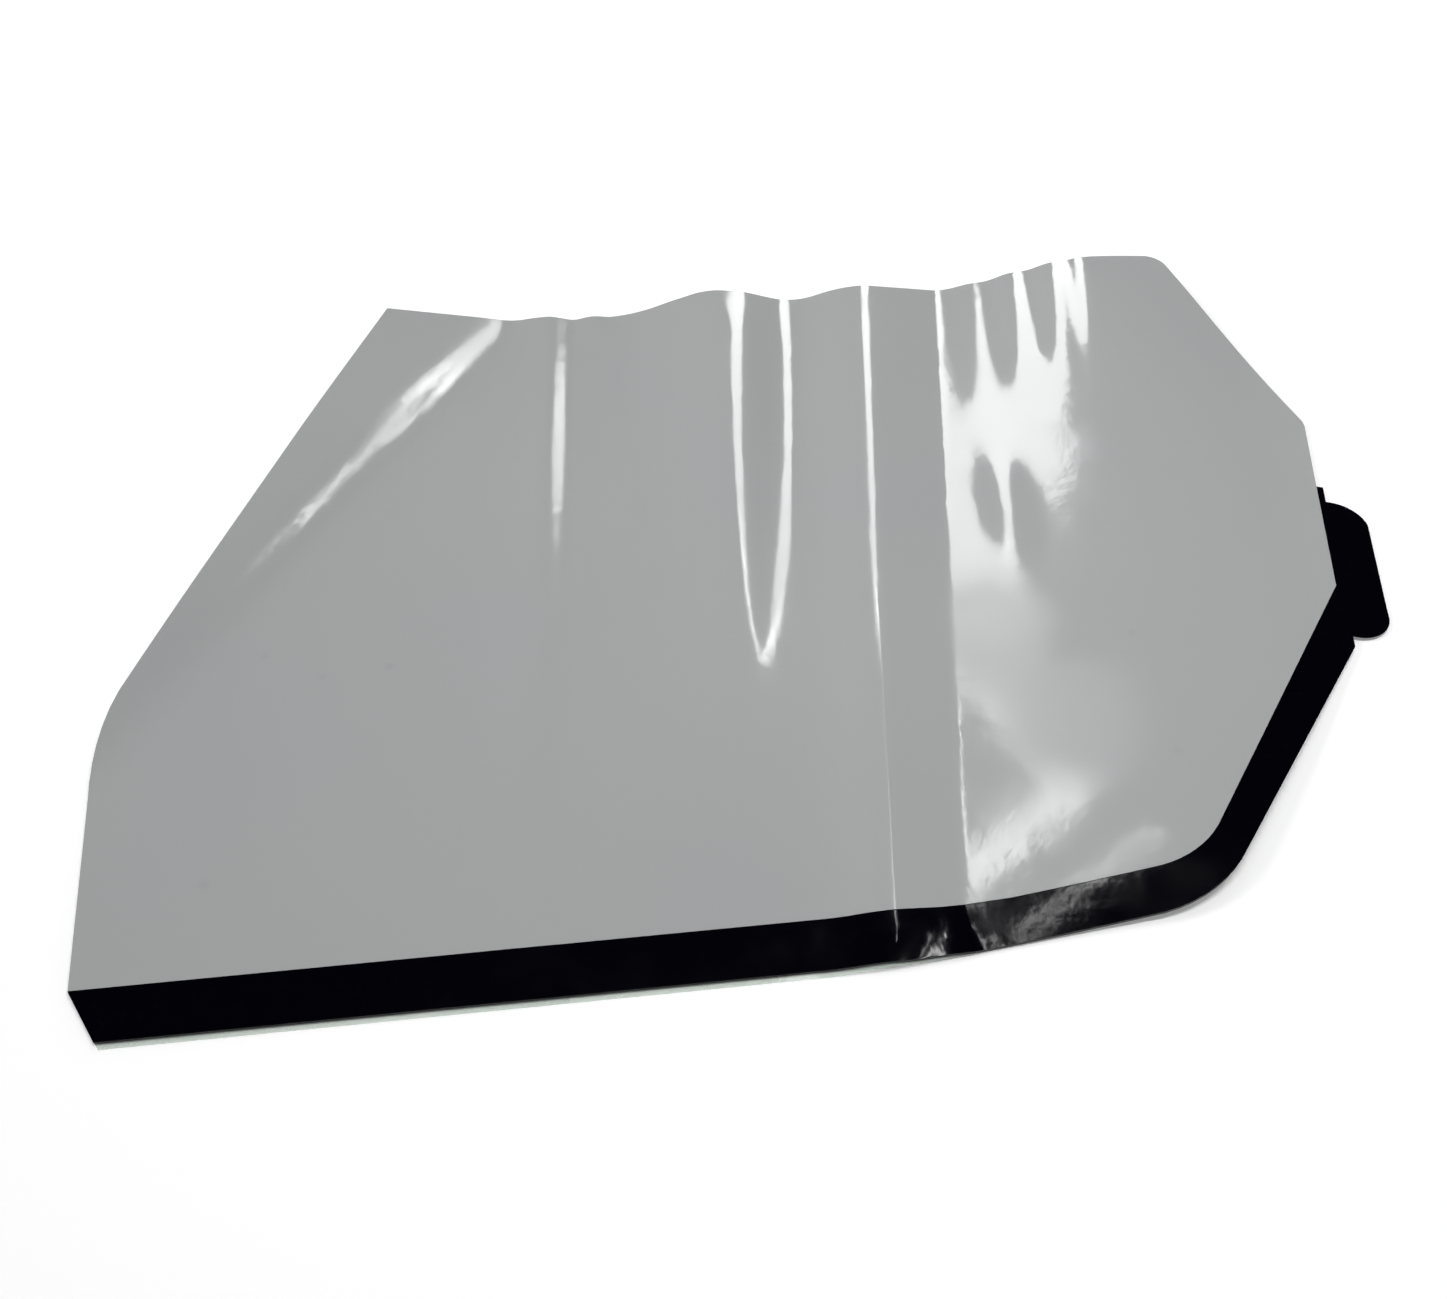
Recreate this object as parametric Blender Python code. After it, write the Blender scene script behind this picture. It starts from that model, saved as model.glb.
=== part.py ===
"""Flexible thin-film solar sheet, lying face down, so that its white back film is on top.

All layers follow one rippled surface. A piece is a patch of that surface, cut to the piece's own outline
in plan and then given a thickness, so the layers stay parallel wherever the sheet bends.
Lengths are in metres and angles in degrees. +Z is up, and +X runs along the straight front edge.
"""

import math

import bmesh
import bpy
from mathutils import Vector

# Outline of the base film in plan. A side is a straight line that faces outwards at an angle,
# at a reach from the middle of the sheet. Sides are listed anticlockwise, from the front.
FRONT_FACING, FRONT_REACH = -90.0, 0.409
BEND_FACING, BEND_REACH = -84.1, 0.4125
CUT_FACING, CUT_REACH = -42.9, 0.4539
RIGHT_FACING, RIGHT_REACH = -17.6, 0.4925
SHOULDER_FACING, SHOULDER_REACH = 10.4, 0.5637
BACK_FACING, BACK_REACH = 92.3, 0.3951
LEFT_FACING, LEFT_REACH = 160.7, 0.4715
HEEL_FACING, HEEL_REACH = 188.9, 0.5723
TOE_FACING, TOE_REACH = 214.0, 0.6399

# Radius of the corner at the end of each side.
FRONT_RADIUS = 1.0
BEND_RADIUS = 0.12
SHOULDER_RADIUS = 0.03
BACK_CORNER_RADIUS = 0.02
LEFT_RADIUS = 0.2
ARC_STEP = 6.0

# Black border that the white back film leaves uncovered. Along the cut it widens towards the right, by an
# angle. Along the right side it ends at a length past the tail, and from there on all films are flush.
FRONT_BORDER = 0.038
BEND_BORDER = 0.034
CUT_BORDER, CUT_BORDER_TURN = 0.0268, 2.2
RIGHT_BORDER = 0.0062
RIGHT_BORDER_PAST_TAIL = 0.020

# Clear lip that the front film shows beyond the base film along the front.
FRONT_LIP = 0.004

# Thicknesses of the layers, from the sun side up, and the bond line between any two of them.
FRONT_FILM = 0.00025
ENCAPSULANT = 0.0004
RIBBON = 0.00015
CELL = 0.0002
BASE_FILM = 0.0003
BACK_FILM = 0.0003
BOND = 0.0002

# Edge seal, and the lane inside it for the ribbon that returns along the front.
SEAL_WIDTH = 0.012
SEAL_CLEARANCE = 0.001
LANE_CLEARANCE = 0.004
RETURN_WIDTH = 0.008
RETURN_INSET = SEAL_WIDTH + LANE_CLEARANCE
CELL_MARGIN = RETURN_INSET + RETURN_WIDTH + LANE_CLEARANCE

# Cells: strips of equal area, side by side from left to right, joined in series. The field of cells
# starts and ends where the sheet is deep enough for the shortest side of a cell.
CELL_COUNT = 14
SHORTEST_CELL = 0.33
CELL_GAP = 0.003
INTERCONNECT_WIDTH = 0.012
JOGGLE_WIDTH = 0.0014
BUS_WIDTH = 0.014
BUS_LAP = 0.004
BUTT_GAP = 0.0003

# Flat tail on the right side: its width along that side, and its reach outwards from it.
TAIL_WIDTH = 0.175
TAIL_REACH = 0.034
TAIL_FILM = 0.00035
TAIL_LAP = SEAL_WIDTH + SEAL_CLEARANCE / 2.0
TAIL_LOWER_RADIUS = 0.030
TAIL_UPPER_RADIUS = 0.030
CONTACT_LENGTH = 0.012
LEAD_WIDTH = 0.012
LEAD_SPACING = 0.080
LEAD_TO_TAIL_SIDE = 0.040
LEAD_END = 0.003

# Two ripples that start at the back edge. A ripple's crest starts at a place along that edge and drifts
# by a length for each metre towards the front, and its left and right flanks narrow at a like rate.
# Shares of the right flank round its crest and its foot. The ripple dies away over its run.
HUMP_PLACE, HUMP_DRIFT = -0.010, -0.090
HUMP_LEFT, HUMP_RIGHT, HUMP_NARROWING = 0.125, 0.108, 0.095
HUMP_CREST, HUMP_FOOT = 0.5, 0.5
HUMP_HEIGHT, HUMP_RUN = 0.021, 0.72
WAVE_PLACE, WAVE_DRIFT = 0.140, -0.170
WAVE_LEFT, WAVE_RIGHT, WAVE_NARROWING = 0.095, 0.100, 0.035
WAVE_CREST, WAVE_FOOT = 0.12, 0.03
WAVE_HEIGHT, WAVE_RUN = 0.014, 1.20

# Right part: a low swell that rises from the crease at the foot of the wave, falls again to the right side,
# and fades away before the front edge. Near the back edge there is a steep lift on it.
SWELL_LEFT, SWELL_RIGHT = 0.20, 0.20
SWELL_CREST, SWELL_FOOT = 0.25, 0.125
SWELL_HEIGHT, SWELL_RUN, SWELL_FADE = 0.0094, 0.775, 0.13
LIFT_PLACE, LIFT_DRIFT = 0.237, -0.195
LIFT_WIDTH, LIFT_HEIGHT, LIFT_RUN = 0.185, 0.020, 0.32

# Back left corner, which is folded up along a slanted line. Its slope grows over a rise up to a crest line,
# and falls behind it to the slope of the flat corner.
FOLD_FACING, FOLD_CREST = 150.0, 0.4047
FOLD_RISE, FOLD_STEEP = 0.045, 0.408
FOLD_FALL, FOLD_SLOPE = 0.040, 0.24

# Facets of the rippled surface, and how close a cut may pass by one of their corners.
FACET_X = 0.033
FACET_Y = 0.092
SNAP = 0.00002

# Colour, roughness and metallic value of each kind of material.
WHITE_FILM = ((0.40, 0.41, 0.41), 0.15, 0.0)
BLACK_FILM = ((0.004, 0.003, 0.009), 0.15, 0.0)
CLEAR_FILM = ((0.62, 0.72, 0.64), 0.10, 0.0)
CLEAR_RESIN = ((0.75, 0.76, 0.70), 0.30, 0.0)
SEAL_RUBBER = ((0.02, 0.02, 0.02), 0.60, 0.0)
CELL_FOIL = ((0.012, 0.014, 0.035), 0.25, 0.3)
TINNED_COPPER = ((0.62, 0.61, 0.58), 0.35, 1.0)


def direction(facing):
    """Unit vector in plan at an angle from +X."""
    return Vector((math.cos(math.radians(facing)), math.sin(math.radians(facing)), 0.0))


def crossing(first, second):
    """Point in plan where two sides, each a facing and a reach, cross."""
    n, m = direction(first[0]), direction(second[0])
    turn = n.x * m.y - n.y * m.x
    return Vector((first[1] * m.y - second[1] * n.y, second[1] * n.x - first[1] * m.x, 0.0)) / turn


def rounded(sides):
    """Half-planes of an outline whose sides are facing, reach and radius of the corner that follows."""
    planes = []
    for (facing, reach, radius), (next_facing, next_reach, _) in zip(sides, sides[1:] + sides[:1]):
        planes.append((facing, reach))
        if radius > 0.0:
            centre = crossing((facing, reach - radius), (next_facing, next_reach - radius))
            turn = (next_facing - facing) % 360.0
            steps = math.ceil(turn / ARC_STEP) + 1
            for step in range(1, steps):
                tangent = facing + turn * step / steps
                planes.append((tangent, centre.dot(direction(tangent)) + radius))
    return planes


def base_outline(inset=0.0, front=0.0, bend=0.0, cut=0.0, cut_turn=0.0, right=0.0):
    """Outline of the base film, drawn in by an inset all round and by a further amount on some sides."""
    sides = (
        (FRONT_FACING, FRONT_REACH - front, FRONT_RADIUS - front),
        (BEND_FACING, BEND_REACH - bend, BEND_RADIUS - bend),
        (CUT_FACING + cut_turn, CUT_REACH - cut, 0.0),
        (RIGHT_FACING, RIGHT_REACH - right, SHOULDER_RADIUS),
        (SHOULDER_FACING, SHOULDER_REACH, BACK_CORNER_RADIUS),
        (BACK_FACING, BACK_REACH, 0.0),
        (LEFT_FACING, LEFT_REACH, LEFT_RADIUS),
        (HEEL_FACING, HEEL_REACH, 0.0),
        (TOE_FACING, TOE_REACH, 0.0),
    )
    return rounded([(facing, reach - inset, radius - inset) for facing, reach, radius in sides])


def white_outline():
    """Outline of the back film, which leaves the black border uncovered."""
    return base_outline(
        front=FRONT_BORDER, bend=BEND_BORDER, cut=CUT_BORDER, cut_turn=CUT_BORDER_TURN, right=RIGHT_BORDER
    )


def film_outline(front=0.0):
    """Outline of a film under the back film, with the back film's own corner at the shoulder."""
    corner = [(facing, reach) for facing, reach in white_outline() if RIGHT_FACING < facing < SHOULDER_FACING]
    return base_outline(front=front) + corner


def strip_across(left, right):
    """Half-planes of an upright strip between two places along +X."""
    return [(0.0, right), (180.0, -left)]


def along_right(start, end, inner, outer, lower_radius=0.0, upper_radius=0.0):
    """Outline on the right side, from start to end along it, and from inner to outer across it."""
    return rounded([
        (RIGHT_FACING - 90.0, -start, lower_radius),
        (RIGHT_FACING, RIGHT_REACH + outer, upper_radius),
        (RIGHT_FACING + 90.0, end, 0.0),
        (RIGHT_FACING + 180.0, inner - RIGHT_REACH, 0.0),
    ])


def right_of(start, end):
    """Half-plane to the right of a line from start to end."""
    facing = math.degrees(math.atan2(end.y - start.y, end.x - start.x)) + 90.0
    return facing, start.dot(direction(facing))


def inside(point, planes):
    return all(point.dot(direction(facing)) < reach for facing, reach in planes)


def polygon(planes):
    """Corners in plan of the area inside half-planes."""
    points = [Vector((x, y, 0.0)) for x, y in ((-2, -2), (2, -2), (2, 2), (-2, 2))]
    for facing, reach in planes:
        normal = direction(facing)
        kept = []
        for here, following in zip(points, points[1:] + points[:1]):
            depth, next_depth = reach - here.dot(normal), reach - following.dot(normal)
            if depth >= 0.0:
                kept.append(here)
            if depth * next_depth < 0.0:
                kept.append(here.lerp(following, depth / (depth - next_depth)))
        points = kept
    return points


def area(planes):
    points = polygon(planes)
    return 0.5 * sum(a.x * b.y - b.x * a.y for a, b in zip(points, points[1:] + points[:1]))


def chord(planes, x):
    """Lowest and highest place along +Y inside half-planes, at a place along +X."""
    low, high = -math.inf, math.inf
    for facing, reach in planes:
        normal = direction(facing)
        if abs(normal.y) > 1e-6:
            y = (reach - normal.x * x) / normal.y
            low, high = (low, min(high, y)) if normal.y > 0.0 else (max(low, y), high)
    return low, high


def halve(low, high, is_low):
    """Place between low and high where a test that holds at low stops holding."""
    while high - low > SNAP / 2.0:
        middle = (low + high) / 2.0
        low, high = (middle, high) if is_low(middle) else (low, middle)
    return low


def smooth(share):
    """Smooth step from 0 to 1."""
    share = min(max(share, 0.0), 1.0)
    return share * share * (3.0 - 2.0 * share)


def flank(offset, width, crest=0.5, foot=0.5):
    """Share of a ripple's height at an offset from its crest: 1 at the crest, and 0 from the foot on."""
    offset = min(max(offset, 0.0), width)
    crest, foot = crest * width, foot * width
    rounded_start = min(offset, crest) ** 2 / (2.0 * crest)
    straight = min(max(offset - crest, 0.0), width - crest - foot)
    into_foot = max(offset - width + foot, 0.0)
    rounded_end = into_foot - into_foot * into_foot / (2.0 * foot)
    return 1.0 - (rounded_start + straight + rounded_end) / (width - (crest + foot) / 2.0)


def hump(point, depth):
    """Tall ripple at the middle of the back edge."""
    offset = point.x - HUMP_PLACE - HUMP_DRIFT * depth
    if offset < 0.0:
        share = flank(-offset, HUMP_LEFT - HUMP_NARROWING * depth)
    else:
        share = flank(offset, HUMP_RIGHT - HUMP_NARROWING * depth, HUMP_CREST, HUMP_FOOT)
    return HUMP_HEIGHT * share * smooth(1.0 - depth / HUMP_RUN)


def wave(point, depth):
    """Lower ripple beside the hump, whose right flank ends in a crease."""
    offset = point.x - WAVE_PLACE - WAVE_DRIFT * depth
    if offset < 0.0:
        share = flank(-offset, WAVE_LEFT - WAVE_NARROWING * depth)
    else:
        share = flank(offset, WAVE_RIGHT - WAVE_NARROWING * depth, WAVE_CREST, WAVE_FOOT)
    return WAVE_HEIGHT * share * smooth(1.0 - depth / WAVE_RUN)


def swell(point, depth):
    """Low rise from the crease at the foot of the wave, which falls again to the right side."""
    crease = WAVE_PLACE + WAVE_RIGHT + (WAVE_DRIFT - WAVE_NARROWING) * depth
    offset = point.x - crease - SWELL_LEFT
    if offset < 0.0:
        share = flank(-offset, SWELL_LEFT, SWELL_CREST, SWELL_FOOT)
    else:
        share = flank(offset, SWELL_RIGHT)
    return SWELL_HEIGHT * share * smooth((SWELL_RUN - depth) / SWELL_FADE)


def lift(point, depth):
    """Steep rise of the back right part, beside the crease."""
    offset = point.x - LIFT_PLACE - LIFT_DRIFT * depth
    return LIFT_HEIGHT * smooth(offset / LIFT_WIDTH) * smooth(1.0 - depth / LIFT_RUN)


def eased(share):
    """Way along a line whose slope goes smoothly from 0 to 1 while the share does, and then stays."""
    part = min(max(share, 0.0), 1.0)
    return part ** 3 - part ** 4 / 2.0 + max(share - 1.0, 0.0)


def fold(point):
    """Corner that is folded up, steepest along the crest line of the fold."""
    past = point.dot(direction(FOLD_FACING)) - FOLD_CREST
    rise = FOLD_STEEP * FOLD_RISE * eased(past / FOLD_RISE + 1.0)
    return rise - (FOLD_STEEP - FOLD_SLOPE) * FOLD_FALL * eased(past / FOLD_FALL)


def surface_height(point):
    """Height of the sheet's underside above the floor."""
    depth = BACK_REACH - point.dot(direction(BACK_FACING))
    ripples = hump(point, depth) + wave(point, depth) + swell(point, depth)
    return ripples + lift(point, depth) + fold(point)


def rippled_surface(tail):
    """Triangulated surface under the whole sheet and its tail, which every piece is cut from."""
    points = polygon(base_outline(front=-FRONT_LIP)) + polygon(tail)
    low_x, high_x = min(p.x for p in points), max(p.x for p in points)
    low_y, high_y = min(p.y for p in points), max(p.y for p in points)
    columns = math.ceil((high_x - low_x) / FACET_X) + 1
    rows = math.ceil((high_y - low_y) / FACET_Y) + 1
    start_x = (low_x + high_x - columns * FACET_X) / 2.0
    start_y = (low_y + high_y - rows * FACET_Y) / 2.0

    mesh = bmesh.new()
    grid = []
    for column in range(columns + 1):
        line = [Vector((start_x + column * FACET_X, start_y + row * FACET_Y, 0.0)) for row in range(rows + 1)]
        grid.append([mesh.verts.new((p.x, p.y, surface_height(p))) for p in line])
    for left, right in zip(grid, grid[1:]):
        for row in range(rows):
            mesh.faces.new((left[row], right[row], right[row + 1]))
            mesh.faces.new((left[row], right[row + 1], left[row + 1]))
    return mesh


def split(mesh, faces, plane, clear=False):
    """Cuts faces along the edge of a half-plane, and clears what lies outside it if asked."""
    parts = set(faces)
    for face in faces:
        parts.update(face.edges)
        parts.update(face.verts)
    normal = direction(plane[0])
    bmesh.ops.bisect_plane(
        mesh, geom=list(parts), dist=SNAP, plane_co=normal * plane[1], plane_no=normal, clear_outer=clear
    )


def patch(surface, outline, *holes):
    """Part of the surface inside an outline and outside any holes, all given as half-planes."""
    mesh = surface.copy()
    for plane in outline:
        split(mesh, mesh.faces[:], plane, clear=True)
    for hole in holes:
        for done, plane in enumerate(hole):
            split(mesh, [f for f in mesh.faces if inside(f.calc_center_median(), hole[:done])], plane)
        inner = [f for f in mesh.faces if inside(f.calc_center_median(), hole)]
        bmesh.ops.delete(mesh, geom=inner, context="FACES")
    return mesh


def thicken(mesh, level, thickness):
    """Closed solid whose underside lies over the patch at a level, a length or a function of a point."""
    lows, highs = {}, {}
    solid = bmesh.new()
    for vert in mesh.verts:
        low = level(vert.co) if callable(level) else level
        lows[vert] = solid.verts.new(vert.co + Vector((0.0, 0.0, low)))
        highs[vert] = solid.verts.new(vert.co + Vector((0.0, 0.0, low + thickness)))
    for face in mesh.faces:
        solid.faces.new([highs[v] for v in face.verts])
        solid.faces.new([lows[v] for v in reversed(face.verts)])
        for loop in face.loops:
            if loop.edge.is_boundary:
                a, b = loop.vert, loop.link_loop_next.vert
                solid.faces.new((lows[a], lows[b], highs[b], highs[a]))
    return solid


def material_of(name, finish):
    colour, roughness, metallic = finish
    material = bpy.data.materials.new(name)
    material.use_nodes = True
    shader = material.node_tree.nodes["Principled BSDF"]
    shader.inputs["Base Color"].default_value = (*colour, 1.0)
    shader.inputs["Roughness"].default_value = roughness
    shader.inputs["Metallic"].default_value = metallic
    material.diffuse_color = (*colour, 1.0)
    return material


def place(name, mesh, level, thickness, finish, sheet):
    """Adds one piece: a patch, thickened, with its own material, on the sheet's empty."""
    solid = thicken(mesh, level, thickness)
    data = bpy.data.meshes.new(name)
    solid.to_mesh(data)
    solid.free()
    mesh.free()
    data.materials.append(material_of(name, finish))
    piece = bpy.data.objects.new(name, data)
    bpy.context.collection.objects.link(piece)
    piece.parent = sheet
    return piece


def stack_levels():
    """Level of each layer's underside over the surface, from the sun side up."""
    order = (
        ("front_film", FRONT_FILM),
        ("front_encapsulant", ENCAPSULANT),
        ("low_ribbon", RIBBON),
        ("cell", CELL),
        ("high_ribbon", RIBBON),
        ("rear_encapsulant", ENCAPSULANT),
        ("base_film", BASE_FILM),
        ("back_film", BACK_FILM),
    )
    levels, level = {}, 0.0
    for name, thickness in order:
        levels[name] = level
        level += thickness + BOND
    return levels


def cell_field():
    """Places along +X that divide the field of cells into strips of equal area."""
    usable = base_outline(CELL_MARGIN)
    corners = polygon(usable)
    middle = sum(p.x for p in corners) / len(corners)

    def too_short(x):
        low, high = chord(usable, x)
        return high - low < SHORTEST_CELL

    left = halve(min(p.x for p in corners), middle, too_short)
    right = halve(middle, max(p.x for p in corners), lambda x: not too_short(x))
    field = usable + strip_across(left, right)
    share = area(field) / CELL_COUNT
    inner = [
        halve(left, right, lambda x: area(field + [(0.0, x)]) < share * count)
        for count in range(1, CELL_COUNT)
    ]
    return [left, *inner, right]


class Layout:
    """Places that the cells, the ribbons and the tail share."""

    def __init__(self):
        self.edges = cell_field()
        self.bus_left = self.edges[0] + BUS_LAP - BUS_WIDTH
        self.bus_right = self.edges[-1] - BUS_LAP + BUS_WIDTH
        self.turn = self.edges[-1] + JOGGLE_WIDTH
        foot = (self.turn + self.bus_right) / 2.0
        low, _ = chord(base_outline(RETURN_INSET), foot)
        along = direction(RIGHT_FACING + 90.0)
        self.negative_lead = along.dot(Vector((foot, low, 0.0))) + LEAD_WIDTH / 2.0
        self.positive_lead = self.negative_lead - LEAD_SPACING
        self.tail_end = self.negative_lead + LEAD_TO_TAIL_SIDE
        self.tail_start = self.tail_end - TAIL_WIDTH

    def tail(self, reach, inner=TAIL_LAP, clearance=0.0, lower_radius=0.0, upper_radius=0.0):
        start, end = self.tail_start - clearance, self.tail_end + clearance
        return along_right(start, end, inner, reach, lower_radius, upper_radius)

    def flush(self):
        """Area at the right side, past the end of the black border, that the back film leaves free."""
        start = self.tail_end + RIGHT_BORDER_PAST_TAIL
        return [(RIGHT_FACING - 90.0, -start), (RIGHT_FACING + 180.0, RIGHT_BORDER - RIGHT_REACH)]

    def lead(self, middle, inner):
        half = LEAD_WIDTH / 2.0
        return along_right(middle - half, middle + half, inner, TAIL_REACH - LEAD_END)


def make_films(surface, levels, layout, sheet):
    """The five films of the laminate, and the seal that closes it round the edge up to the tail."""
    flush = layout.flush()
    place("back_film", patch(surface, white_outline()), levels["back_film"], BACK_FILM, WHITE_FILM, sheet)
    base = patch(surface, film_outline(), flush)
    place("base_film", base, levels["base_film"], BASE_FILM, BLACK_FILM, sheet)
    filled = base_outline(SEAL_WIDTH + SEAL_CLEARANCE)
    for name in ("rear_encapsulant", "front_encapsulant"):
        place(name, patch(surface, filled), levels[name], ENCAPSULANT, CLEAR_RESIN, sheet)
    lipped = patch(surface, film_outline(front=-FRONT_LIP), flush)
    place("front_film", lipped, levels["front_film"], FRONT_FILM, CLEAR_FILM, sheet)

    slot = layout.tail(SEAL_WIDTH, inner=2.0 * SEAL_WIDTH, clearance=SEAL_CLEARANCE)
    ring = patch(surface, film_outline(), base_outline(SEAL_WIDTH), slot, flush)
    height = levels["base_film"] - BOND - levels["front_encapsulant"]
    place("edge_seal", ring, levels["front_encapsulant"], height, SEAL_RUBBER, sheet)


def joggle(levels, middle):
    """Level of a ribbon that passes from below the cell on its left to above what is on its right."""
    low, high = levels["low_ribbon"], levels["high_ribbon"]

    def level(point):
        share = (point.x - middle) / JOGGLE_WIDTH + 0.5
        return low + (high - low) * min(max(share, 0.0), 1.0)

    return level


def joggled_patch(surface, outline, middle):
    """Patch that is also cut along the two lines where a joggle starts and ends."""
    mesh = patch(surface, outline)
    for bend in (middle - JOGGLE_WIDTH / 2.0, middle + JOGGLE_WIDTH / 2.0):
        split(mesh, mesh.faces[:], (0.0, bend))
    return mesh


def make_cells(surface, levels, layout, sheet):
    """Cell strips, and between each two the ribbon that joins them in series."""
    field = base_outline(CELL_MARGIN)
    for number, (left, right) in enumerate(zip(layout.edges, layout.edges[1:]), start=1):
        strip = strip_across(left + CELL_GAP / 2.0, right - CELL_GAP / 2.0)
        place(f"cell_{number:02d}", patch(surface, field + strip), levels["cell"], CELL, CELL_FOIL, sheet)
    inner_field = base_outline(CELL_MARGIN + CELL_GAP)
    for number, middle in enumerate(layout.edges[1:-1], start=1):
        strip = strip_across(middle - INTERCONNECT_WIDTH / 2.0, middle + INTERCONNECT_WIDTH / 2.0)
        ribbon = joggled_patch(surface, inner_field + strip, middle)
        place(f"interconnect_{number:02d}", ribbon, joggle(levels, middle), RIBBON, TINNED_COPPER, sheet)


def make_bus_ribbons(surface, levels, layout, sheet):
    """End ribbons of the series string, and the return that brings its positive end to the tail."""
    level = levels["high_ribbon"]
    lane_inset = RETURN_INSET + RETURN_WIDTH
    bus = base_outline(lane_inset + BUTT_GAP) + strip_across(layout.bus_left, layout.bus_left + BUS_WIDTH)
    place("positive_bus", patch(surface, bus), level, RIBBON, TINNED_COPPER, sheet)

    bus_middle = sum(polygon(bus), Vector()) / len(polygon(bus))
    end = layout.positive_lead + LEAD_WIDTH / 2.0
    lane_end = crossing((RIGHT_FACING, RIGHT_REACH - lane_inset), (RIGHT_FACING + 90.0, end))
    limits = [(180.0, -layout.bus_left), (RIGHT_FACING + 90.0, end), right_of(bus_middle, lane_end)]
    lane = patch(surface, base_outline(RETURN_INSET) + limits, base_outline(lane_inset))
    place("positive_return", lane, level, RIBBON, TINNED_COPPER, sheet)

    strip = strip_across(layout.bus_right - BUS_WIDTH, layout.bus_right)
    ribbon = joggled_patch(surface, base_outline(RETURN_INSET) + strip, layout.turn)
    place("negative_bus", ribbon, joggle(levels, layout.turn), RIBBON, TINNED_COPPER, sheet)


def make_tail(surface, levels, layout, sheet):
    """Flat tail: a lower film, the two leads on it, and a cover film over both."""
    lane_inset = RETURN_INSET + RETURN_WIDTH
    past_joggle = (180.0, -(layout.turn + JOGGLE_WIDTH))
    leads = (
        ("positive_lead", layout.lead(layout.positive_lead, lane_inset)),
        ("negative_lead", layout.lead(layout.negative_lead, lane_inset) + [past_joggle]),
    )
    for name, outline in leads:
        place(name, patch(surface, outline), levels["cell"], CELL, TINNED_COPPER, sheet)
    films = (
        ("tail_base", levels["cell"] - BOND - TAIL_FILM, TAIL_REACH - CONTACT_LENGTH),
        ("tail_cover", levels["cell"] + CELL + BOND, TAIL_REACH),
    )
    for name, level, reach in films:
        outline = layout.tail(reach, lower_radius=TAIL_LOWER_RADIUS, upper_radius=TAIL_UPPER_RADIUS)
        place(name, patch(surface, outline), level, TAIL_FILM, BLACK_FILM, sheet)


def centre_on_floor(sheet):
    """Moves the empty so that the middle of the whole sheet's underside is at the origin."""
    bpy.context.view_layer.update()
    corners = [piece.matrix_world @ Vector(c) for piece in sheet.children for c in piece.bound_box]
    middle_x = (min(c.x for c in corners) + max(c.x for c in corners)) / 2.0
    middle_y = (min(c.y for c in corners) + max(c.y for c in corners)) / 2.0
    sheet.location = (-middle_x, -middle_y, -min(c.z for c in corners))


def main():
    for old in list(bpy.data.objects):
        bpy.data.objects.remove(old, do_unlink=True)
    sheet = bpy.data.objects.new("solar_sheet", None)
    bpy.context.collection.objects.link(sheet)
    layout = Layout()
    surface = rippled_surface(layout.tail(TAIL_REACH))
    levels = stack_levels()
    make_films(surface, levels, layout, sheet)
    make_cells(surface, levels, layout, sheet)
    make_bus_ribbons(surface, levels, layout, sheet)
    make_tail(surface, levels, layout, sheet)
    surface.free()
    centre_on_floor(sheet)
    bpy.context.view_layer.update()


main()
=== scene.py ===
"""Looks of the flexible solar sheet: smooth rippled films, foil cells, ribbons, studio light and camera."""

import math

import bpy
import numpy as np
from mathutils import Matrix, Vector
from mathutils.bvhtree import BVHTree


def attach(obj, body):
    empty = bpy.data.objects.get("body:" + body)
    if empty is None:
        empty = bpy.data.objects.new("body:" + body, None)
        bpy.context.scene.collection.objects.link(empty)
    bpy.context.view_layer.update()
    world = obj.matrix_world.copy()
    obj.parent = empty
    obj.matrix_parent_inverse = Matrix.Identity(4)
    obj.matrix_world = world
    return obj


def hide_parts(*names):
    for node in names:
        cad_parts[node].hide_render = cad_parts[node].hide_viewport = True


# Lengths are in metres and facings in degrees, counted from +X towards +Y.

# Place of the sheet's drawing frame in the model's frame.
DRAWING_SHIFT = (0.0001, -0.0009)

# Camera, in the drawing frame.
CAMERA_PLACE = (-0.1289, -0.7771, 0.7431)
CAMERA_YAW = 6.07
CAMERA_PITCH = 48.0
CAMERA_LENS = 29.85

# Grid on which the smooth surface is drawn.
GRID_X = 0.004
GRID_Y = 0.012
CREST_EASE = 0.0002
SHARP_ANGLE = 40
WELD = 1e-7
INWARDS = 0.999

# Back edge, from which the ripples run to the front.
BACK_FACING = 92.3
BACK_REACH = 0.3951

# Ripples: the crest starts at place on the back edge and moves sideways by drift for each metre of depth. The
# flanks are left and right wide and lose narrowing for each metre of depth. Crest and foot are the shares of
# the right flank that are rounded, and sharpening is the share of the crest's rounding that is lost in front.
HUMP = dict(
    place=-0.010, drift=-0.065, left=0.125, right=0.108, narrowing=0.140,
    crest=0.36, foot=0.5, sharpening=0.0, height=0.021, run=0.62,
)
WAVE = dict(
    place=0.149, drift=-0.150, left=0.095, right=0.091, narrowing=0.055,
    crest=0.12, foot=0.03, sharpening=0.97, height=0.014, run=1.20,
)
PEAK = dict(
    place=-0.024, drift=0.0, left=0.035, right=0.035, narrowing=0.0,
    crest=0.5, foot=0.5, sharpening=0.0, height=0.002, run=0.07,
)
WRINKLE = dict(
    place=-0.200, drift=-0.030, left=0.050, right=0.032, narrowing=0.0,
    crest=0.3, foot=0.3, sharpening=0.0, height=0.0066, run=0.85,
)
SPOT = dict(
    place=-0.150, drift=0.0, left=0.022, right=0.022, narrowing=0.0,
    crest=0.5, foot=0.5, sharpening=0.0, height=0.0025, run=0.06,
)
RIPPLES = (HUMP, WAVE, PEAK, WRINKLE, SPOT)
LEFT_ROUNDING = 0.5
LEAST_FLANK = 0.005
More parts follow.
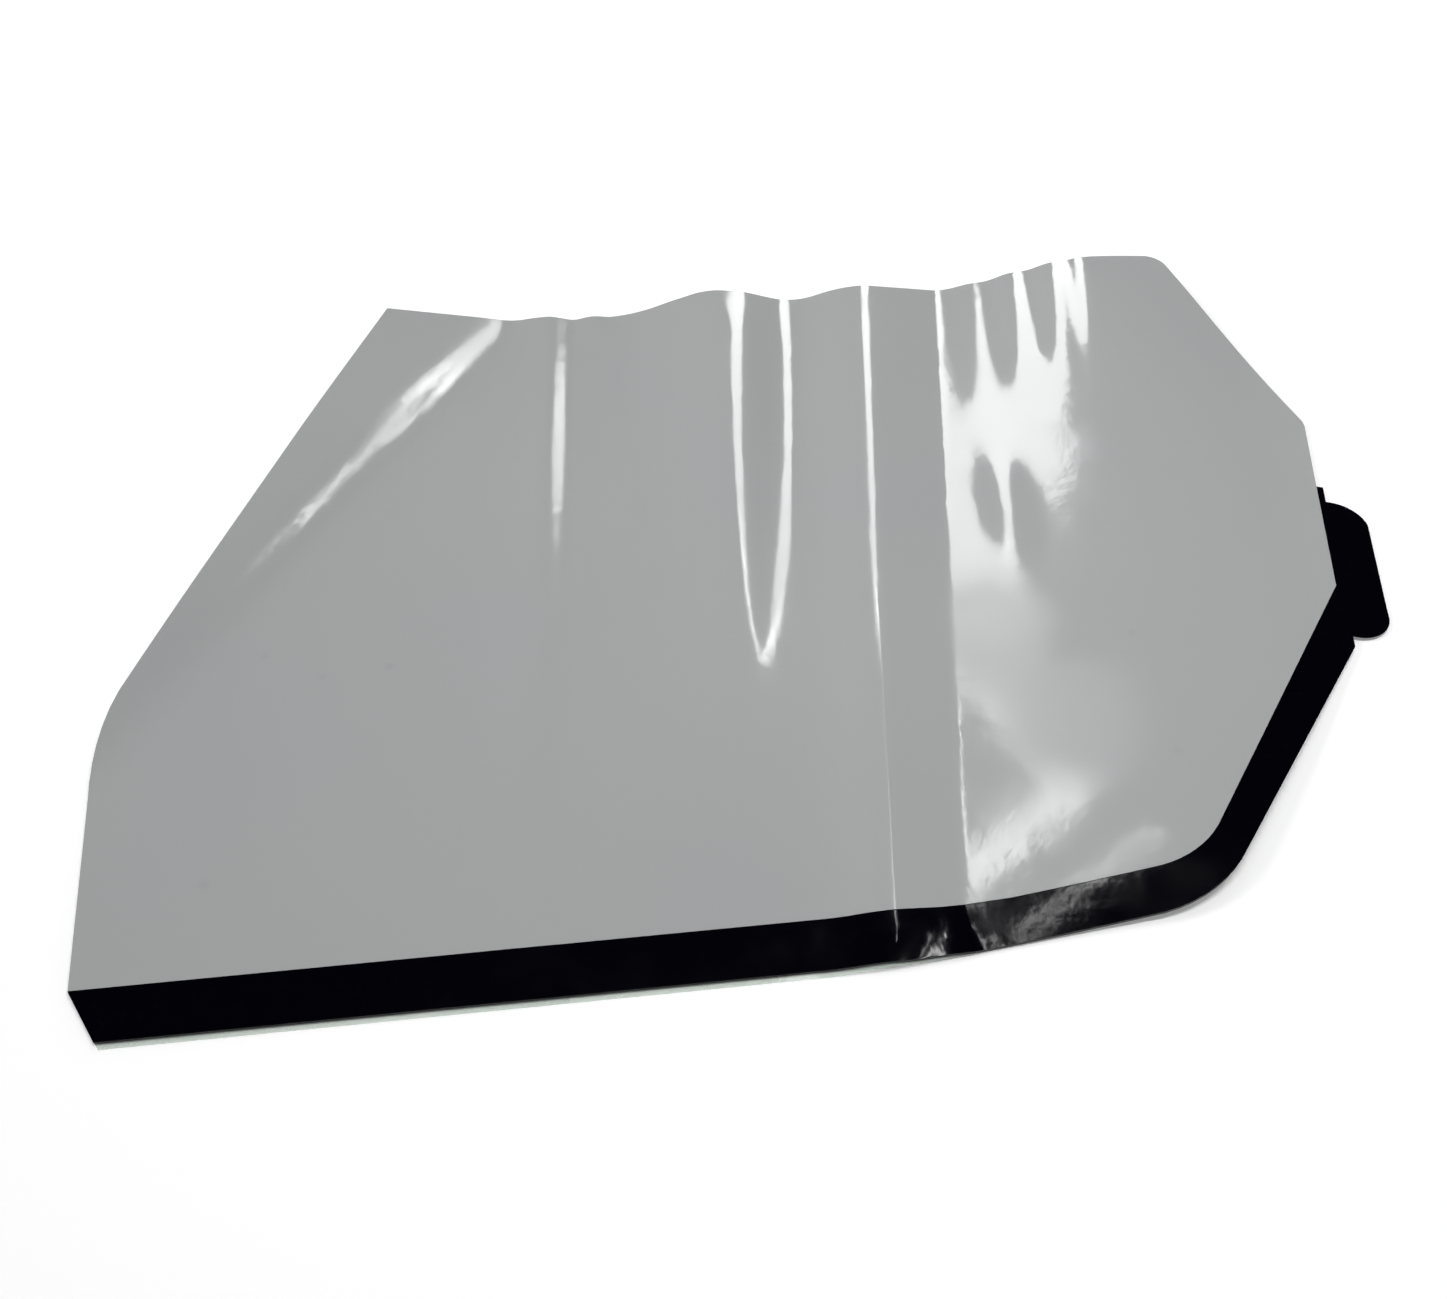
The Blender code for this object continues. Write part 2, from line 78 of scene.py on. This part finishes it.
SHARPENING_START = 0.50
SHARPENING_RUN = 0.12

# Right part: a low swell that rises from the crease at the wave's foot and falls again to the right side. Its
# front end is slanted. Near the back edge there is a lift on it, with fingers and a blister.
SWELL_LEFT = 0.20
SWELL_RIGHT = 0.20
SWELL_CREST = 0.25
SWELL_FOOT = 0.015
SWELL_HEIGHT = 0.0094
SWELL_RUN = 0.815
SWELL_SLANT = 0.65
SWELL_FADE = 0.22
SWELL_FADE_ROUNDING = 0.25
LIFT_PLACE = 0.237
LIFT_DRIFT = -0.195
LIFT_WIDTH = 0.180
LIFT_HEIGHT = 0.0195
LIFT_RUN = 0.30
LIFT_FALL = 0.07
LIFT_FALL_START = 0.150
LIFT_FALL_EASE = 0.03
FINGER_LENGTH = 0.0475
FINGER_HEIGHT = 0.00125
FINGER_RUN = 0.26
FINGER_END = 0.172
FINGER_EASE = 0.022
BLISTER_PLACE = (0.222, 0.037)
BLISTER_SIZE = (0.014, 0.05)
BLISTER_TILT = 0.13
BLISTER_HEIGHT = 0.0024

# Folded back left corner: its slope is greatest along a line, and smaller behind it.
FOLD_FACING = 150
FOLD_CREST = 0.4047
FOLD_RISE = 0.045
FOLD_FALL = 0.040
FOLD_STEEP = 0.402
FOLD_STEEP_BACK = 0.275
FOLD_BACK_START = -0.07
FOLD_BACK_RUN = 0.30
FOLD_SLOPE = 0.24

# Front: a pucker where the crease meets the front edge.
PUCKER_APEX = (0.080, -0.364)
PUCKER_FOOT = (0.067, -0.409)
PUCKER_HALF = 0.040
PUCKER_HEIGHT = 0.0013

# Lights. Window, strip, bar and glint are ovals that stand far behind the sheet and make its highlights. Each
# is placed by its direction from the target, counted from the camera's forward, and leans to the left at its
# top. Softbox and side light the sheet from where the camera sees no reflection of them.
LIGHT_TARGET = (0.10, -0.08, 0.0)
LIGHT_DISTANCE = 10.0
WINDOW = dict(azimuth=12.1, elevation=36.0, width=1.25, height=4.8, lean=8.0, radiance=8.0)
STRIP = dict(azimuth=19.5, elevation=58.7, width=0.32, height=1.85, lean=0.0, radiance=12.0)
BAR = dict(azimuth=13.5, elevation=50.7, width=0.20, height=2.15, lean=-38.7, radiance=12.0)
GLINT = dict(azimuth=27.9, elevation=60.5, width=0.09, height=0.60, lean=5.0, radiance=12.0)
SOFTBOX_PLACE = (0.40, 0.15, 2.4)
SOFTBOX_SIZE = (2.0, 0.3)
SOFTBOX_RADIANCE = 22.0
SIDE_PLACE = (-9.6, 3.6, 6.2)
SIDE_SIZE = (3.0, 3.0)
SIDE_RADIANCE = 18.0
SKY_LOW = (0.90, 0.90, 0.90)
SKY_HIGH = (0.008, 0.007, 0.012)
SKY_LOW_END = 0.25
SKY_HIGH_START = 0.45

# Floor: it glows faintly near the sheet, so that the shadow stays, and is white further out.
FLOOR_RADIUS = 9.0
FLOOR_CORNERS = 96
FLOOR_COLOUR = (0.90, 0.90, 0.90, 1)
FLOOR_ROUGHNESS = 0.9
FLOOR_GLOW = 0.20
FLOOR_WHITE_START = 0.75
FLOOR_WHITE_END = 1.8

# Small scuffs on the white film: place in the drawing frame, radius and depth of shade.
SCUFFS = (
    (-0.333, -0.104, 0.006, 0.10), (-0.386, -0.110, 0.005, 0.08), (-0.436, -0.082, 0.005, 0.07),
    (-0.446, -0.298, 0.006, 0.08), (0.280, -0.140, 0.006, 0.08), (0.274, -0.262, 0.005, 0.07),
)

# Dull places of the white film: place and half size in the drawing frame, and what they add to the roughness.
DULL_PLACES = (
    (0.165, -0.115, 0.075, 0.100, 0.14), (0.215, -0.215, 0.075, 0.080, 0.15),
)


# Shape of the sheet.


def smooth(share):
    share = np.clip(share, 0, 1)
    return share * share * (3 - 2 * share)


def along(x, y, facing):
    turn = math.radians(facing)
    return x * math.cos(turn) + y * math.sin(turn)


def flank(offset, width, crest, foot):
    """Share of a ripple's height, from 1 on its crest to 0 at its foot, straight between the roundings."""
    offset = np.clip(offset, 0, width)
    top, bottom = crest * width, foot * width
    start = np.minimum(offset, top) ** 2 / (2 * top)
    straight = np.clip(offset - top, 0, width - top - bottom)
    last = np.clip(offset - width + bottom, 0, bottom)
    return 1 - (start + straight + last - last * last / (2 * bottom)) / (width - (top + bottom) / 2)


def eased(share):
    """Way along a line whose slope goes smoothly from 0 to 1 while the share does, and then stays."""
    part = np.clip(share, 0, 1)
    return part ** 3 - part ** 4 / 2 + np.maximum(share - 1, 0)


def ripple(x, depth, place, drift, left, right, narrowing, crest, foot, sharpening, height, run):
    offset = x - place - drift * depth
    lost = narrowing * depth
    crest = crest * (1 - sharpening * smooth((depth - SHARPENING_START) / SHARPENING_RUN))
    on_left = flank(-offset, np.maximum(left - lost, LEAST_FLANK), LEFT_ROUNDING, LEFT_ROUNDING)
    on_right = flank(offset, np.maximum(right - lost, LEAST_FLANK), crest, foot)
    return height * np.where(offset < 0, on_left, on_right) * smooth(1 - depth / run)


def swell(x, depth):
    crease = WAVE["place"] + WAVE["right"] + (WAVE["drift"] - WAVE["narrowing"]) * depth
    offset = x - crease - SWELL_LEFT
    on_left = flank(-offset, SWELL_LEFT, SWELL_CREST, SWELL_FOOT)
    share = np.where(offset < 0, on_left, flank(offset, SWELL_RIGHT, 0.5, 0.5))
    run = SWELL_RUN + SWELL_SLANT * np.maximum(x - crease, 0)
    past = np.clip((depth - run) / SWELL_FADE + 1, 0, 1)
    return SWELL_HEIGHT * share * flank(past, 1.0, SWELL_FADE_ROUNDING, SWELL_FADE_ROUNDING)


def lift(x, depth):
    """Lift of the back edge. Its slope comes and goes in fingers, which are deepest where it is steepest."""
    offset = x - LIFT_PLACE - LIFT_DRIFT * depth
    share = np.clip(offset / LIFT_WIDTH, 0, 1)
    fall = LIFT_FALL * LIFT_FALL_EASE * eased((offset - LIFT_FALL_START) / LIFT_FALL_EASE)
    rise = LIFT_HEIGHT * smooth(share) - fall
    reach = 4 * share * (1 - share) * smooth((FINGER_END - offset) / FINGER_EASE)
    fingers = FINGER_HEIGHT * reach * np.sin(2 * np.pi * offset / FINGER_LENGTH)
    return rise * smooth(1 - depth / LIFT_RUN) - fingers * smooth(1 - depth / FINGER_RUN)


def blister(x, y):
    across, down = x - BLISTER_PLACE[0], y - BLISTER_PLACE[1]
    across, down = (across - BLISTER_TILT * down) / BLISTER_SIZE[0], down / BLISTER_SIZE[1]
    return BLISTER_HEIGHT * np.exp(-(across * across + down * down) / 2)


def fold(x, y):
    past = along(x, y, FOLD_FACING) - FOLD_CREST
    back = smooth((along(x, y, FOLD_FACING - 90) - FOLD_BACK_START) / FOLD_BACK_RUN)
    steep = FOLD_STEEP + (FOLD_STEEP_BACK - FOLD_STEEP) * back
    rise = steep * FOLD_RISE * eased(past / FOLD_RISE + 1)
    return rise - (steep - FOLD_SLOPE) * FOLD_FALL * eased(past / FOLD_FALL)


def pucker(x, y):
    """Waves that spread from a point of the border to its outer edge."""
    share = np.clip((PUCKER_APEX[1] - y) / (PUCKER_APEX[1] - PUCKER_FOOT[1]), 0, 1.2)
    middle = PUCKER_APEX[0] + (PUCKER_FOOT[0] - PUCKER_APEX[0]) * share
    across = (x - middle) / np.maximum(PUCKER_HALF * share, 0.001)
    return PUCKER_HEIGHT * share * np.cos(np.pi * across) * smooth(1.5 - 1.2 * np.abs(across))


def sheet_height(x, y):
    """Height of the sheet's underside over the floor, at points of the model's frame."""
    x, y = x - DRAWING_SHIFT[0], y - DRAWING_SHIFT[1]
    depth = BACK_REACH - along(x, y, BACK_FACING)
    height = sum(ripple(x, depth, **values) for values in RIPPLES)
    height += swell(x, depth) + lift(x, depth) + blister(x, y) + fold(x, y) + pucker(x, y)
    return np.maximum(height, 0)


# Smooth copies of the faceted nodes.


def triangles_of(node):
    """Corners of a node's triangles, as an array."""
    mesh = node.data
    mesh.calc_loop_triangles()
    places = np.empty(len(mesh.vertices) * 3)
    mesh.vertices.foreach_get("co", places)
    order = np.empty(len(mesh.loop_triangles) * 3, dtype=np.int32)
    mesh.loop_triangles.foreach_get("vertices", order)
    return places.reshape(-1, 3)[order].reshape(-1, 3, 3)


class Facets:
    """Faceted underside of the sheet, which gives each point of a node its level in the stack of layers."""

    def __init__(self, lowest):
        points = triangles_of(lowest).reshape(-1, 3).tolist()
        self.tree = BVHTree.FromPolygons(points, [(i, i + 1, i + 2) for i in range(0, len(points), 3)])

    def height(self, x, y):
        place, normal, _, _ = self.tree.ray_cast(Vector((x, y, -1)), Vector((0, 0, 1)))
        if place is None:
            place, normal, _, _ = self.tree.find_nearest(Vector((x, y, 0)))
            inside = Vector((place.x * INWARDS, place.y * INWARDS, -1))
            _, normal, _, _ = self.tree.ray_cast(inside, Vector((0, 0, 1)))
        slide = Vector((x - place.x, y - place.y, 0))
        return place.z - slide.dot(normal) / normal.z

    def levels(self, corners):
        """The same corners, each with its height over the facets in place of its height over the floor."""
        points, back = np.unique(corners.reshape(-1, 3), axis=0, return_inverse=True)
        points[:, 2] -= [self.height(x, y) for x, y, _ in points]
        return points[back.ravel()].reshape(corners.shape)


def clip(corners, counts, axis, limits, side):
    """Cuts padded polygons, each at its own limit across an axis, and keeps what lies on one side of it."""
    total, room = corners.shape[:2]
    rows = np.arange(total)
    kept = np.zeros((total, room + 1, 3))
    filled = np.zeros(total, dtype=int)
    for turn in range(room):
        live = turn < counts
        here, there = corners[:, turn], corners[rows, (turn + 1) % np.maximum(counts, 1)]
        near, far = side * (here[:, axis] - limits), side * (there[:, axis] - limits)
        stays = live & (near >= 0)
        kept[rows[stays], filled[stays]] = here[stays]
        filled[stays] += 1
        cut = live & (near * far < 0)
        swap = (here[cut, axis] > there[cut, axis])[:, None]
        low, high = np.where(swap, there[cut], here[cut]), np.where(swap, here[cut], there[cut])
        share = (limits[cut] - low[:, axis]) / (high[:, axis] - low[:, axis])
        point = low + share[:, None] * (high - low)
        point[:, axis] = limits[cut]
        kept[rows[cut], filled[cut]] = point
        filled[cut] += 1
    return kept, filled


def split(corners, counts, axis, step):
    """Cuts padded polygons along every line of a grid across one axis."""
    live = np.arange(corners.shape[1]) < counts[:, None]
    values = corners[:, :, axis]
    first = np.floor(np.where(live, values, np.inf).min(1) / step).astype(int)
    last = np.floor(np.where(live, values, -np.inf).max(1) / step).astype(int)
    times = last - first + 1
    source = np.repeat(np.arange(len(corners)), times)
    line = np.arange(len(source)) - np.repeat(np.cumsum(times) - times, times) + first[source]
    corners, counts = clip(corners[source], counts[source], axis, line * step, 1)
    corners, counts = clip(corners, counts, axis, (line + 1) * step, -1)
    whole = counts > 2
    return corners[whole], counts[whole]


def split_at_crest(corners, counts, values, ease):
    """Cuts padded polygons along a line beside a ripple's crest, which is straight in plan."""
    turn = math.radians(BACK_FACING)
    across, down = 1 + values["drift"] * math.cos(turn), values["drift"] * math.sin(turn)
    place = values["place"] + values["drift"] * BACK_REACH + ease
    place += across * DRAWING_SHIFT[0] + down * DRAWING_SHIFT[1]
    level = np.zeros(len(corners))
    sheared = corners.copy()
    sheared[:, :, 0] = across * corners[:, :, 0] + down * corners[:, :, 1] - place
    low, low_counts = clip(sheared, counts, 0, level, -1)
    high, high_counts = clip(sheared, counts, 0, level, 1)
    corners, counts = np.concatenate((low, high)), np.concatenate((low_counts, high_counts))
    corners[:, :, 0] = (corners[:, :, 0] + place - down * corners[:, :, 1]) / across
    whole = counts > 2
    return corners[whole], counts[whole]


def smooth_mesh(name, node, facets):
    """Mesh of a node, cut along the grid and laid on the smooth surface at its own level."""
    corners = facets.levels(triangles_of(node))
    counts = np.full(len(corners), 3)
    corners, counts = split(corners, counts, 0, GRID_X)
    corners, counts = split(corners, counts, 1, GRID_Y)
    for ease in (-CREST_EASE, CREST_EASE):
        corners, counts = split_at_crest(corners, counts, WAVE, ease)
    live = np.arange(corners.shape[1]) < counts[:, None]
    points = corners[live]
    _, first, back = np.unique(np.round(points / WELD), axis=0, return_index=True, return_inverse=True)
    places = points[first]
    places[:, 2] += sheet_height(places[:, 0], places[:, 1])
    faces = []
    for loop in np.split(back.ravel(), np.cumsum(counts)[:-1]):
        ring = [p for p, q in zip(loop, np.roll(loop, -1)) if p != q]
        if len(set(ring)) == len(ring) > 2:
            faces.append(ring)
    mesh = bpy.data.meshes.new(name)
    mesh.from_pydata(places.tolist(), [], faces)
    mesh.update()
    mesh.shade_smooth()
    mesh.set_sharp_from_angle(angle=math.radians(SHARP_ANGLE))
    return mesh


# Materials.


class Look:
    """A node material with one Principled shader."""

    def __init__(self, name):
        self.material = bpy.data.materials.new(name)
        self.material.use_nodes = True
        self.tree = self.material.node_tree
        self.shader = self.tree.nodes["Principled BSDF"]
        self.place = self.add("TexCoord").outputs["Object"]

    def set(self, node, values):
        for key, value in values.items():
            if isinstance(value, bpy.types.NodeSocket):
                self.tree.links.new(value, node.inputs[key])
            else:
                node.inputs[key].default_value = value

    def add(self, kind, inputs=None, **settings):
        node = self.tree.nodes.new("ShaderNode" + kind)
        for key, value in settings.items():
            setattr(node, key, value)
        self.set(node, inputs or {})
        return node

    def noise(self, scale, detail=2.0, roughness=0.5):
        values = {"Vector": self.place, "Scale": scale, "Detail": detail, "Roughness": roughness}
        return self.add("TexNoise", values).outputs["Fac"]

    def ranged(self, value, low, high, start=0.3, end=0.7):
        values = {"Value": value, "From Min": start, "From Max": end, "To Min": low, "To Max": high}
        return self.add("MapRange", values).outputs["Result"]

    def mixed(self, share, first, second, blend="MIX"):
        node = self.add("Mix", data_type="RGBA", blend_type=blend)
        for key, value in ((0, share), (6, first), (7, second)):
            if isinstance(value, bpy.types.NodeSocket):
                self.tree.links.new(value, node.inputs[key])
            else:
                node.inputs[key].default_value = value
        return node.outputs[2]

    def between(self, value, first, second):
        """Colour that goes from one to the other with a pattern."""
        return self.mixed(self.ranged(value, 0, 1), (*first, 1), (*second, 1))

    def gap_to(self, x, y, across, down):
        """Distance in plan from a place of the drawing frame, as a share of half sizes across and down."""
        centre = (x + DRAWING_SHIFT[0], y + DRAWING_SHIFT[1], 0)
        away = self.add("VectorMath", {0: self.place, 1: centre}, operation="SUBTRACT").outputs[0]
        scale = (1 / across, 1 / down, 0)
        away = self.add("VectorMath", {0: away, 1: scale}, operation="MULTIPLY").outputs[0]
        return self.add("VectorMath", {0: away}, operation="LENGTH").outputs["Value"]

    def finish(self, colour, roughness):
        self.set(self.shader, {"Base Color": colour, "Roughness": roughness})

    def bump(self, *layers):
        """Bump from pairs of a pattern and its depth."""
        normal = None
        for pattern, depth in layers:
            values = {"Height": pattern, "Distance": depth, "Strength": 1.0}
            if normal:
                values["Normal"] = normal
            normal = self.add("Bump", values).outputs["Normal"]
        self.tree.links.new(normal, self.shader.inputs["Normal"])


def white_film():
    look = Look("white_film")
    colour = look.between(look.noise(3.0, 1.0), (0.385, 0.388, 0.392), (0.392, 0.404, 0.396))
    for x, y, radius, shade in SCUFFS:
        share = look.ranged(look.gap_to(x, y, radius, radius), shade, 0, 0.2, 1.0)
        colour = look.mixed(share, colour, (0.16, 0.16, 0.17, 1))
    dull = None
    for x, y, across, down, extra in DULL_PLACES:
        share = look.ranged(look.gap_to(x, y, across, down), extra, 0, 0.4, 1.0)
        dull = look.add("Math", {0: dull, 1: share}, operation="MAXIMUM").outputs[0] if dull else share
    plain = look.ranged(look.noise(22.0), 0.075, 0.115)
    roughness = look.add("Math", {0: plain, 1: dull}, operation="ADD").outputs[0]
    look.finish(colour, roughness)
    look.bump((look.noise(60.0, 2.0), 0.00010), (look.noise(320.0, 1.0), 0.00001))
    return look.material


def black_film():
    look = Look("black_film")
    dust = look.ranged(look.noise(140.0, 4.0, 0.7), 0, 1, 0.55, 0.85)
    colour = look.mixed(dust, (0.0006, 0.0004, 0.0016, 1), (0.0024, 0.0020, 0.0034, 1))
    look.finish(colour, look.ranged(look.noise(30.0), 0.06, 0.10))
    look.bump((look.noise(55.0, 2.0), 0.00012), (look.noise(320.0, 1.0), 0.00001))
    return look.material


def clear_film():
    look = Look("clear_film")
    colour = look.between(look.noise(8.0), (0.56, 0.68, 0.58), (0.66, 0.76, 0.66))
    look.finish(colour, look.ranged(look.noise(25.0), 0.08, 0.16))
    look.set(look.shader, {"Alpha": 0.35})
    look.bump((look.noise(60.0, 2.0), 0.00008))
    return look.material


def clear_resin():
    look = Look("clear_resin")
    colour = look.between(look.noise(12.0), (0.72, 0.72, 0.66), (0.78, 0.79, 0.74))
    look.finish(colour, look.ranged(look.noise(40.0), 0.35, 0.5))
    look.set(look.shader, {"Alpha": 0.16})
    return look.material


def edge_rubber():
    look = Look("edge_rubber")
    colour = look.between(look.noise(60.0), (0.012, 0.012, 0.012), (0.030, 0.029, 0.028))
    look.finish(colour, look.ranged(look.noise(90.0), 0.55, 0.75))
    look.bump((look.noise(400.0, 3.0), 0.00003))
    return look.material


def cell_foil():
    look = Look("cell_foil")
    film = look.between(look.noise(14.0, 3.0), (0.008, 0.010, 0.030), (0.016, 0.017, 0.045))
    bands = {"Vector": look.place, "Scale": 62.8, "Distortion": 0.0}
    wave = look.add("TexWave", bands, wave_type="BANDS", bands_direction="Y").outputs["Fac"]
    lines = look.ranged(wave, 0, 1, 0.985, 0.998)
    colour = look.mixed(lines, film, (0.42, 0.42, 0.40, 1))
    look.finish(colour, look.ranged(look.noise(60.0), 0.25, 0.4))
    look.set(look.shader, {"Metallic": look.ranged(lines, 0.0, 0.9, 0, 1)})
    look.bump((lines, 0.00002))
    return look.material


def tinned_ribbon():
    look = Look("tinned_ribbon")
    colour = look.between(look.noise(70.0, 3.0), (0.58, 0.57, 0.54), (0.70, 0.69, 0.66))
    look.finish(colour, look.ranged(look.noise(160.0), 0.22, 0.38))
    look.set(look.shader, {"Metallic": 1.0})
    look.bump((look.noise(240.0, 2.0), 0.00003))
    return look.material


def slot_of(node):
    """Material slot of a node, from its name."""
    if node == "back_film":
        return "white_film"
    if node in ("base_film", "tail_base", "tail_cover"):
        return "black_film"
    if node == "front_film":
        return "clear_film"
    if node.endswith("encapsulant"):
        return "clear_resin"
    if node == "edge_seal":
        return "edge_rubber"
    if node.startswith("cell"):
        return "cell_foil"
    return "tinned_ribbon"


# The object.


def dress(frame):
    """Replaces every node by its smooth copy."""
    looks = {
        "white_film": white_film(), "black_film": black_film(), "clear_film": clear_film(),
        "clear_resin": clear_resin(), "edge_rubber": edge_rubber(), "cell_foil": cell_foil(),
        "tinned_ribbon": tinned_ribbon(),
    }
    facets = Facets(frame["nodes"]["front_film"])
    pieces = {}
    for name, node in sorted(frame["nodes"].items()):
        mesh = smooth_mesh(name + "_smooth", node, facets)
        piece = bpy.data.objects.new(name + "_smooth", mesh)
        bpy.context.scene.collection.objects.link(piece)
        slot = slot_of(name)
        mesh.materials.append(looks[slot])
        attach(piece, "root")
        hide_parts(name)
        pieces[name] = piece
    return pieces


def plan_area(node):
    """Area of a node seen from above."""
    corners = triangles_of(node)
    first, second = corners[:, 1] - corners[:, 0], corners[:, 2] - corners[:, 0]
    double = first[:, 0] * second[:, 1] - first[:, 1] * second[:, 0]
    return float(np.maximum(double, 0).sum() / 2)


def declare_sheets(frame):
    """Goes over the flexible films and works out the area that each covers seen from above."""
    for name, under in (
        ("back_film", ["base_film"]), ("base_film", ["rear_encapsulant"]), ("front_film", []),
        ("tail_cover", ["positive_lead"]), ("tail_base", []),
    ):
        plan_area(frame["nodes"][name])


# Studio.


def add_camera():
    data = bpy.data.cameras.new("camera")
    data.sensor_width = 36.0
    data.lens = CAMERA_LENS
    data.clip_start, data.clip_end = 0.01, 100.0
    camera = bpy.data.objects.new("camera", data)
    camera.location = Vector(CAMERA_PLACE) + Vector((*DRAWING_SHIFT, 0))
    camera.rotation_euler = (math.radians(90 - CAMERA_PITCH), 0, math.radians(-CAMERA_YAW))
    bpy.context.scene.collection.objects.link(camera)
    bpy.context.scene.camera = camera


def add_area_light(name, place, target, width, height, radiance, lean=None):
    """Flat light of one radiance that faces a target: an oval if it has a lean, and otherwise a rectangle."""
    oval = lean is not None
    data = bpy.data.lights.new(name, "AREA")
    data.shape = "ELLIPSE" if oval else "RECTANGLE"
    data.size, data.size_y = width, height
    area = width * height * (math.pi / 4 if oval else 1)
    data.energy = radiance * area * math.pi
    light = bpy.data.objects.new(name, data)
    facing = (Vector(target) - Vector(place)).to_track_quat("-Z", "Y").to_matrix().to_4x4()
    turn = Matrix.Rotation(math.radians(-(lean or 0)), 4, "Z")
    light.matrix_world = Matrix.Translation(place) @ facing @ turn
    bpy.context.scene.collection.objects.link(light)


def add_far_light(name, azimuth, elevation, width, height, lean, radiance):
    """Oval light far behind the sheet, placed by its direction from the target."""
    turn, rise = math.radians(azimuth + CAMERA_YAW), math.radians(elevation)
    out = Vector((math.sin(turn) * math.cos(rise), math.cos(turn) * math.cos(rise), math.sin(rise)))
    place = Vector(LIGHT_TARGET) + LIGHT_DISTANCE * out
    add_area_light(name, place, LIGHT_TARGET, width, height, radiance, lean)


def add_world():
    world = bpy.data.worlds.new("studio")
    bpy.context.scene.world = world
    world.use_nodes = True
    tree = world.node_tree
    place = tree.nodes.new("ShaderNodeTexCoord").outputs["Generated"]
    parts = tree.nodes.new("ShaderNodeSeparateXYZ")
    tree.links.new(place, parts.inputs[0])
    rise = tree.nodes.new("ShaderNodeMapRange")
    rise.interpolation_type = "SMOOTHSTEP"
    rise.inputs["From Min"].default_value = SKY_LOW_END
    rise.inputs["From Max"].default_value = SKY_HIGH_START
    tree.links.new(parts.outputs["Z"], rise.inputs["Value"])
    sky = tree.nodes.new("ShaderNodeMix")
    sky.data_type = "RGBA"
    sky.inputs[6].default_value = (*SKY_LOW, 1)
    sky.inputs[7].default_value = (*SKY_HIGH, 1)
    tree.links.new(rise.outputs["Result"], sky.inputs[0])
    path = tree.nodes.new("ShaderNodeLightPath")
    shown = tree.nodes.new("ShaderNodeMix")
    shown.data_type = "RGBA"
    shown.inputs[7].default_value = (1, 1, 1, 1)
    tree.links.new(path.outputs["Is Camera Ray"], shown.inputs[0])
    tree.links.new(sky.outputs[2], shown.inputs[6])
    tree.links.new(shown.outputs[2], tree.nodes["Background"].inputs["Color"])


def add_floor():
    mesh = bpy.data.meshes.new("floor")
    turns = [2 * math.pi * i / FLOOR_CORNERS for i in range(FLOOR_CORNERS)]
    ring = [(FLOOR_RADIUS * math.cos(turn), FLOOR_RADIUS * math.sin(turn), 0) for turn in turns]
    mesh.from_pydata(ring, [], [list(range(FLOOR_CORNERS))])
    look = Look("floor_paint")
    look.finish(FLOOR_COLOUR, FLOOR_ROUGHNESS)
    path = look.add("LightPath").outputs
    seen = path["Is Camera Ray"]
    for kind in ("Is Glossy Ray", "Is Transmission Ray"):
        seen = look.add("Math", {0: seen, 1: path[kind]}, operation="MAXIMUM").outputs[0]
    away = look.add("VectorMath", {0: look.place}, operation="LENGTH").outputs["Value"]
    values = {
        "Value": away, "From Min": FLOOR_WHITE_START, "From Max": FLOOR_WHITE_END,
        "To Min": FLOOR_GLOW, "To Max": 1.0,
    }
    far = look.add("MapRange", values, interpolation_type="SMOOTHSTEP").outputs["Result"]
    glow = look.add("Math", {0: seen, 1: far}, operation="MULTIPLY").outputs[0]
    look.set(look.shader, {"Emission Color": (1, 1, 1, 1), "Emission Strength": glow})
    mesh.materials.append(look.material)
    floor = bpy.data.objects.new("floor", mesh)
    bpy.context.scene.collection.objects.link(floor)


bpy.ops.wm.read_factory_settings(use_empty=True)
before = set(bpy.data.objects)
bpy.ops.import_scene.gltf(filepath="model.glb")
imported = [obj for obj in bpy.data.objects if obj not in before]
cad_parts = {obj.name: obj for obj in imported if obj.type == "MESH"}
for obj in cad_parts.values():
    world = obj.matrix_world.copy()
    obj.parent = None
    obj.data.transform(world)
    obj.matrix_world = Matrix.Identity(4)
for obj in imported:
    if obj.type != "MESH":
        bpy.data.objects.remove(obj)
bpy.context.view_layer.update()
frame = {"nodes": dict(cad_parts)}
add_camera()
pieces = dress(frame)
declare_sheets(frame)
add_far_light("window", **WINDOW)
add_far_light("strip", **STRIP)
add_far_light("bar", **BAR)
add_far_light("glint", **GLINT)
add_area_light("softbox", SOFTBOX_PLACE, (*SOFTBOX_PLACE[:2], 0), *SOFTBOX_SIZE, SOFTBOX_RADIANCE)
add_area_light("side", SIDE_PLACE, (0, 0, 0), *SIDE_SIZE, SIDE_RADIANCE)
add_world()
add_floor()
bpy.context.scene.view_settings.view_transform = "Standard"
